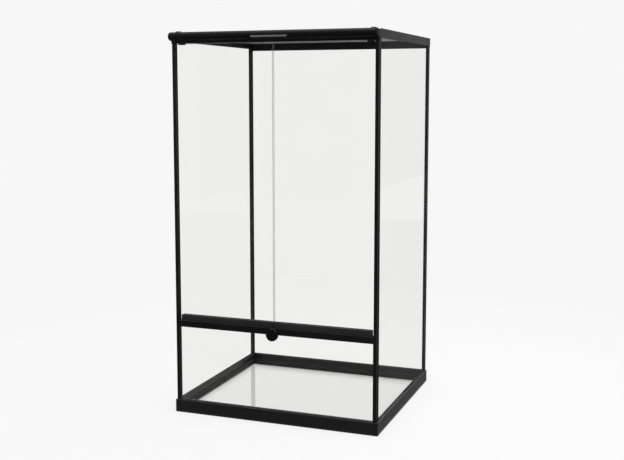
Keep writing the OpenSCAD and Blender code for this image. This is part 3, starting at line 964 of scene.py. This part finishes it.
class ENCLOSURE_OT_seals(bpy.types.Operator):
    """Make the floor bead and the glazing beads"""

    bl_idname = "pet_enclosure.seals"
    bl_label = "Make seals"

    def execute(self, context):
        beads = settings().beads
        self.floor_bead(beads)
        self.glazing_beads(beads)
        return {"FINISHED"}

    def floor_bead(self, beads):
        """Seal in the corner between the floor pane and the base frame: foot and hollow top."""
        top_width = 0.0005
        low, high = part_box("floor_seal")
        height = high.z - low.z
        width = min(
            abs(vert.co.x - low.x) for vert in frame["nodes"]["floor_seal"].data.vertices
            if vert.co.x > low.x + SAME_PLACE
        )
        foot = height * beads.upright_share
        section = [(0.0, 0.0), (width, 0.0), (width, foot)]
        for step in range(1, beads.fillet_steps + 1):
            angle = QUARTER_TURN * step / beads.fillet_steps
            section.append((
                width - (width - top_width) * math.sin(angle),
                foot + (height - foot) * (1 - math.cos(angle)),
            ))
        section.append((0.0, height))
        shape = bmesh.new()
        rings = []
        for x_side, y_side in ROUND_SQUARE:
            corner = Vector(
                (high.x if x_side > 0 else low.x, high.y if y_side > 0 else low.y, low.z)
            )
            rings.append([
                shape.verts.new(corner + Vector((-x_side * inward, -y_side * inward, up)))
                for inward, up in section
            ])
        for ring, following in zip(rings, rings[1:] + rings[:1]):
            for index in range(len(section)):
                after = (index + 1) % len(section)
                shape.faces.new((ring[index], following[index], following[after], ring[after]))
        piece = new_piece("floor_bead", closed_mesh("floor_bead", shape))
        dress(piece, "seal")
        hand_over(piece, "floor_seal")

    def glazing_beads(self, beads):
        """A bead round each fixed pane's opening, inside and outside."""
        base_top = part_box("base_left_trim")[1].z
        frame_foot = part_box("top_left_trim")[0].z
        knob_low, knob_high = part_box("latch_knob")
        rail_line = (knob_low.z + knob_high.z) / 2
        group = bead_group()
        x_axis, y_axis, low_end, high_end = 0, 1, 0, 1
        for name, node, facing, outer_end, top in (
            ("left", "left_glass", x_axis, low_end, frame_foot),
            ("right", "right_glass", x_axis, high_end, frame_foot),
            ("back", "back_glass", y_axis, high_end, frame_foot),
            ("lower", "front_lower_glass", y_axis, low_end, rail_line),
        ):
            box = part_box(node)
            across = 1 - facing
            turn = (QUARTER_TURN, 0.0, QUARTER_TURN if facing == x_axis else 0.0)
            for label, end in (("outer", outer_end), ("inner", 1 - outer_end)):
                place = (box[0] + box[1]) / 2
                place[facing] = box[end][facing]
                place.z = (base_top + top) / 2
                piece = grown_piece(
                    f"{name}_{label}_bead", group, "seal", Place=place, Turn=turn,
                    Width=box[1][across] - box[0][across], Height=top - base_top,
                    Radius=beads.glazing_radius,
                )
                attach(piece, "root")


class ENCLOSURE_OT_bar(bpy.types.Operator):
    """Turn the front bar with its collar and cap, and finish its plate"""

    bl_idname = "pet_enclosure.bar"
    bl_label = "Make front bar"

    def execute(self, context):
        chamfer = 0.0004
        low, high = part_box("front_bar")
        length = high.x - low.x
        radius = (high.z - low.z) / 2
        axis_y, axis_z = low.y + radius, low.z + radius
        outline = [
            (0.0, radius - chamfer), (chamfer, radius),
            (length - chamfer, radius), (length, radius - chamfer),
        ]
        turned_piece("front_bar", outline, (low.x, axis_y, axis_z), (1, 0, 0))
        collar_end, cap_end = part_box("bar_left_collar")[0].x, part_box("bar_right_cap")[1].x
        self.end_piece("bar_left_collar", collar_end, low.x, radius, axis_y, axis_z)
        self.end_piece("bar_right_cap", cap_end, high.x, radius, axis_y, axis_z)
        dress(frame["nodes"]["bar_plate"], "plate_metal")
        return {"FINISHED"}

    def end_piece(self, node, outer_x, inner_x, radius, axis_y, axis_z):
        """Rounded outer end, plain body and a shallow joint groove beside the bar."""
        turned = settings().turned
        centre_radius, slope, slope_share, chamfer = 0.0005, 0.0002, 0.4, 0.0003
        length = abs(inner_x - outer_x)
        width, depth = turned.joint_width, turned.joint_depth
        joint = length - 2 * width
        end_round = quarter_round(turned.end_round, radius, turned.end_round, -1)
        outline = [
            (0.0, centre_radius), *reversed(end_round),
            (joint - slope, radius), (joint, radius - depth * slope_share),
            (joint + slope, radius - depth), (joint + width - slope, radius - depth),
            (joint + width, radius - depth * slope_share), (joint + width + slope, radius),
            (length - chamfer, radius), (length, radius - chamfer),
        ]
        direction = 1 if inner_x > outer_x else -1
        turned_piece(node, outline, (outer_x, axis_y, axis_z), (direction, 0, 0))


class ENCLOSURE_OT_latch(bpy.types.Operator):
    """Turn the latch knob and finish its shaft, cam plate, nut and the pivot pins"""

    bl_idname = "pet_enclosure.latch"
    bl_label = "Make latch"

    def execute(self, context):
        edge = settings().turned.knob_edge
        hub_radius, chamfer, dish_depth, centre_radius = 0.0035, 0.0004, 0.00025, 0.0004
        rim, dish = 3 * edge, 3.4 * edge
        low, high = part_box("latch_knob")
        radius = (high.x - low.x) / 2
        thick = high.y - low.y
        outline = [
            (0.0, hub_radius), (0.0, radius - chamfer), (chamfer, radius),
            *quarter_round(thick - edge, radius, edge, 1),
            (thick, radius - rim), (thick - dish_depth, radius - dish),
            (thick - dish_depth, centre_radius),
        ]
        start = ((low.x + high.x) / 2, high.y, (low.z + high.z) / 2)
        turned_piece("latch_knob", outline, start, (0, -1, 0))
        for node, slot in NODE_SLOT.items():
            if slot == "steel":
                dress(frame["nodes"][node], slot)
        return {"FINISHED"}


class ENCLOSURE_OT_stage(bpy.types.Operator):
    """Make the floor, the soft light and the camera"""

    bl_idname = "pet_enclosure.stage"
    bl_label = "Make stage"

    def execute(self, context):
        stage = settings().stage
        self.floor(stage)
        self.cards()
        self.world(stage)
        self.lamp(
            "top_softbox", stage.top_power, place=(0.3, 0.0, 3.2), target=(0.0, 0.0, 0.4), size=3.0
        )
        self.lamp(
            "side_softbox", stage.side_power, place=(3.2, -0.6, 1.6), target=(0.0, 0.0, 0.5),
            size=2.2,
        )
        self.camera(stage)
        context.scene.view_settings.view_transform = "Standard"
        return {"FINISHED"}

    def sheet(self, name, centre, x_way, y_way, material):
        """A flat four-cornered stage piece round a centre."""
        centre, x_way, y_way = Vector(centre), Vector(x_way), Vector(y_way)
        mesh = bpy.data.meshes.new(name)
        corners = [centre + a * x_way + b * y_way for a, b in ROUND_SQUARE]
        mesh.from_pydata(corners, [], [(0, 1, 2, 3)])
        mesh.materials.append(material)
        piece = new_piece(name, mesh)
        return piece

    def floor(self, stage):
        """Plain pale floor, which turns into plain background further out."""
        near, away = 0.3, 1.6
        material, tree, shader = new_finish("pale_floor")
        set_inputs(shader, {
            "Base Color": (*stage.floor_colour, 1.0), "Roughness": 0.9, "Specular IOR Level": 0.1,
        })
        glow = tree.nodes.new("ShaderNodeEmission")
        glow.inputs["Strength"].default_value = stage.background
        distance = tree.nodes.new("ShaderNodeVectorMath")
        distance.operation = "LENGTH"
        place = tree.nodes.new("ShaderNodeTexCoord").outputs["Object"]
        tree.links.new(place, distance.inputs[0])
        further = ramp_node(tree, distance.outputs["Value"], near, away)
        clean = plus(tree, times(tree, further, 1.0 - stage.floor_clean), stage.floor_clean)
        mix_shaders(tree, times(tree, seen_ray(tree), clean), shader, glow)
        half = stage.floor_half
        self.sheet("floor", (0, 0, 0), (half, 0, 0), (0, half, 0), material)

    def card(self, name, level, centre, x_way, y_way):
        """A glowing card that only reflections see: a painted reflection at the given level, which
        lights nothing and casts no shadow.
        """
        material, tree, shader = new_finish(name + "_card")
        tree.nodes.remove(shader)
        plain = tree.nodes.new("ShaderNodeEmission")
        plain.inputs["Strength"].default_value = level
        tree.links.new(plain.outputs[0], tree.nodes["Material Output"].inputs["Surface"])
        material.cycles.emission_sampling = "NONE"
        card = self.sheet(name, centre, x_way, y_way, material)
        card.visible_camera = False
        card.visible_diffuse = False
        card.visible_transmission = False
        card.visible_shadow = False

    def cards(self):
        """Painted reflections: glowing cards, dark or grey, one in front, one behind on the right,
        the rest low.

        The low ones lie just over the floor: in front, close in front, behind and on the right.
        """
        front, back, right = CAD_BOX[0].y, CAD_BOX[1].y, CAD_BOX[1].x
        gap, near_depth, low = 0.002, 0.1, 0.001
        near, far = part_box("base_front_trim")[0].y - gap, front - near_depth
        upright, wide, deep = (0, 0, 2.0), (4.0, 0, 0), (0, 1.5, 0)
        # Dark levels keep the pale floor and background out of the black parts' reflections; grey
        # ones give them a painted sheen.
        self.card("front_painted_reflection", 0.02, centre=(1.1, -3.4, 2.0), x_way=(2.9, 0, 0), y_way=upright)
        self.card("floor_painted_reflection", 0.045, centre=(0, far - 1.5, low), x_way=wide, y_way=deep)
        self.card(
            "near_painted_reflection", 0.18, centre=(0, (near + far) / 2, low),
            x_way=wide, y_way=(0, (near - far) / 2, 0),
        )
        self.card(
            "back_painted_reflection", 0.03, centre=(right - 2.0, back + gap + 1.5, low),
            x_way=(2.0, 0, 0), y_way=deep,
        )
        self.card("side_painted_reflection", 0.36, centre=(1.8, 3.4, 2.0), x_way=(0, 3.2, 0), y_way=upright)
        self.card(
            "right_painted_reflection", 0.27, centre=(right + gap + 1.85, front + 1.8, low),
            x_way=(1.85, 0, 0), y_way=(0, 1.8, 0),
        )

    def world(self, stage):
        """Plain background for what is seen, and a lower soft light for what is lit."""
        world = bpy.data.worlds.new("studio")
        world.use_nodes = True
        bpy.context.scene.world = world
        tree = world.node_tree
        light = tree.nodes["Background"]
        seen = tree.nodes.new("ShaderNodeBackground")
        set_inputs(light, {"Color": WHITE, "Strength": stage.ambient})
        set_inputs(seen, {"Color": WHITE, "Strength": stage.background})
        mix_shaders(tree, seen_ray(tree), light, seen, output="World Output")

    def lamp(self, name, power, place, target, size):
        """A square softbox that looks at a target."""
        data = bpy.data.lights.new(name, "AREA")
        data.size = size
        data.energy = power
        lamp = bpy.data.objects.new(name, data)
        bpy.context.scene.collection.objects.link(lamp)
        lamp.location = place
        look = Vector(target) - Vector(place)
        lamp.rotation_euler = look.to_track_quat("-Z", "Y").to_euler()

    def camera(self, stage):
        """Camera at the front right, just below the top frame."""
        data = bpy.data.cameras.new("camera")
        data.lens = stage.lens
        data.shift_y = stage.camera_shift
        data.clip_end = 100.0
        camera = bpy.data.objects.new("camera", data)
        bpy.context.scene.collection.objects.link(camera)
        camera.location = stage.camera_place
        camera.rotation_euler = (
            math.radians(90 - stage.camera_pitch), 0.0, math.radians(stage.camera_yaw)
        )
        bpy.context.scene.camera = camera


class ENCLOSURE_PT_panel(bpy.types.Panel):
    """Lists the enclosure's settings and operators"""

    bl_idname = "ENCLOSURE_PT_panel"
    bl_label = "Glass pet enclosure"
    bl_space_type = "VIEW_3D"
    bl_region_type = "UI"
    bl_category = "Enclosure"

    def draw(self, context):
        made = context.scene.pet_enclosure
        for group in (made.edges, made.screen, made.beads, made.turned, made.finish, made.stage):
            box = self.layout.box()
            box.label(text=type(group).__doc__)
            for name in group.__annotations__:
                box.prop(group, name)
        for operator in OPERATORS:
            self.layout.operator(operator.bl_idname)


OPERATORS = (
    ENCLOSURE_OT_finishes,
    ENCLOSURE_OT_frame,
    ENCLOSURE_OT_glass,
    ENCLOSURE_OT_screen,
    ENCLOSURE_OT_seals,
    ENCLOSURE_OT_bar,
    ENCLOSURE_OT_latch,
    ENCLOSURE_OT_stage,
)
CLASSES = (
    EdgeSettings,
    ScreenSettings,
    BeadSettings,
    TurnedSettings,
    FinishSettings,
    StageSettings,
    EnclosureSettings,
    *OPERATORS,
    ENCLOSURE_PT_panel,
)


def register():
    """Registers the classes and hangs the settings on the scene."""
    for each in CLASSES:
        bpy.utils.register_class(each)
    bpy.types.Scene.pet_enclosure = PointerProperty(type=EnclosureSettings)


def unregister():
    """Removes the settings and the classes."""
    del bpy.types.Scene.pet_enclosure
    for each in reversed(CLASSES):
        bpy.utils.unregister_class(each)


def main():
    register()
    bpy.ops.pet_enclosure.finishes()
    bpy.ops.pet_enclosure.frame()
    bpy.ops.pet_enclosure.glass()
    bpy.ops.pet_enclosure.screen()
    bpy.ops.pet_enclosure.seals()
    bpy.ops.pet_enclosure.bar()
    bpy.ops.pet_enclosure.latch()
    bpy.ops.pet_enclosure.stage()


if __name__ == "__main__":
    main()
